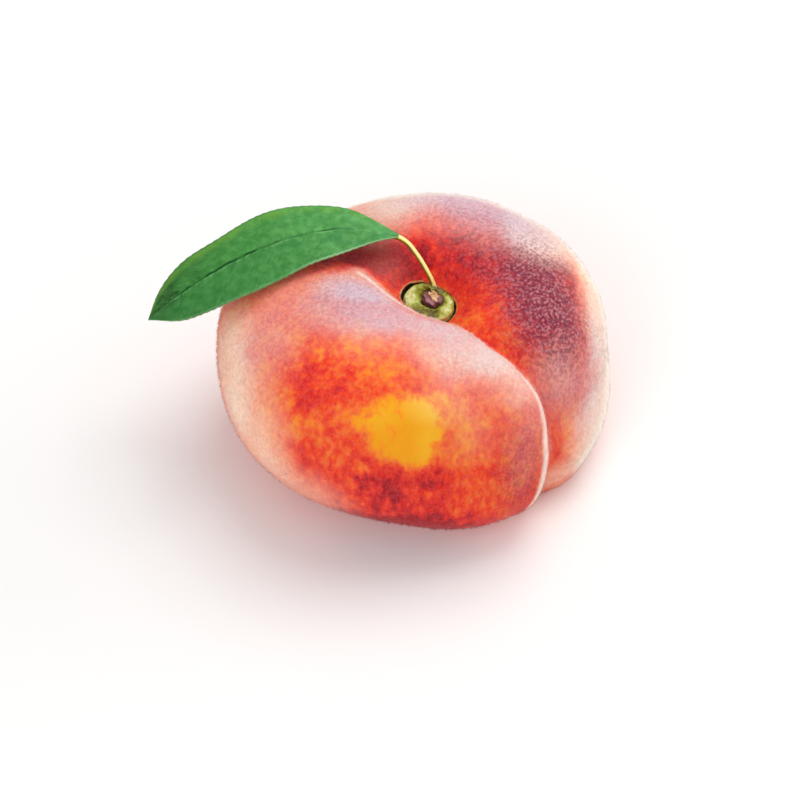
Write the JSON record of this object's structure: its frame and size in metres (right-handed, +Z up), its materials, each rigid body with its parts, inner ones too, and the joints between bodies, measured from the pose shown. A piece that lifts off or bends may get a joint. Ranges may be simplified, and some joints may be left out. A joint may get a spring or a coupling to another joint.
{
  "type": "flat peach",
  "caption": "Low, wide flat peach with a deep suture and stalk pit, a lobed stalk end and a leaf with a finely toothed edge.",
  "frame": {"origin": "middle of the whole peach's base box, on the surface that it rests on", "axes": "+Z up, +X to the side away from the leaf's tip, -Y the side of the larger front lobe"},
  "size_m": [0.0899, 0.0678, 0.0462],
  "materials": {
    "skin": "fruit skin, downy: yellow ground under a mottled orange and red blush, with a pale bloom of fuzz",
    "stalk_bark": "young stalk, satin, yellow green with olive hollows",
    "broken_wood": "broken stalk face, matte, purple brown with tan fibres",
    "petiole": "leaf stalk, satin, pale yellow green with an olive underside",
    "leaf": "green leaf, satin above and paler and matte below, with fine veins"
  },
  "bodies": {
    "root": {"peach_fruit": "skin", "stalk_collar": "stalk_bark", "stalk_end": "broken_wood", "leaf_petiole": "petiole", "leaf_blade": "leaf"}
  },
  "joints": []
}
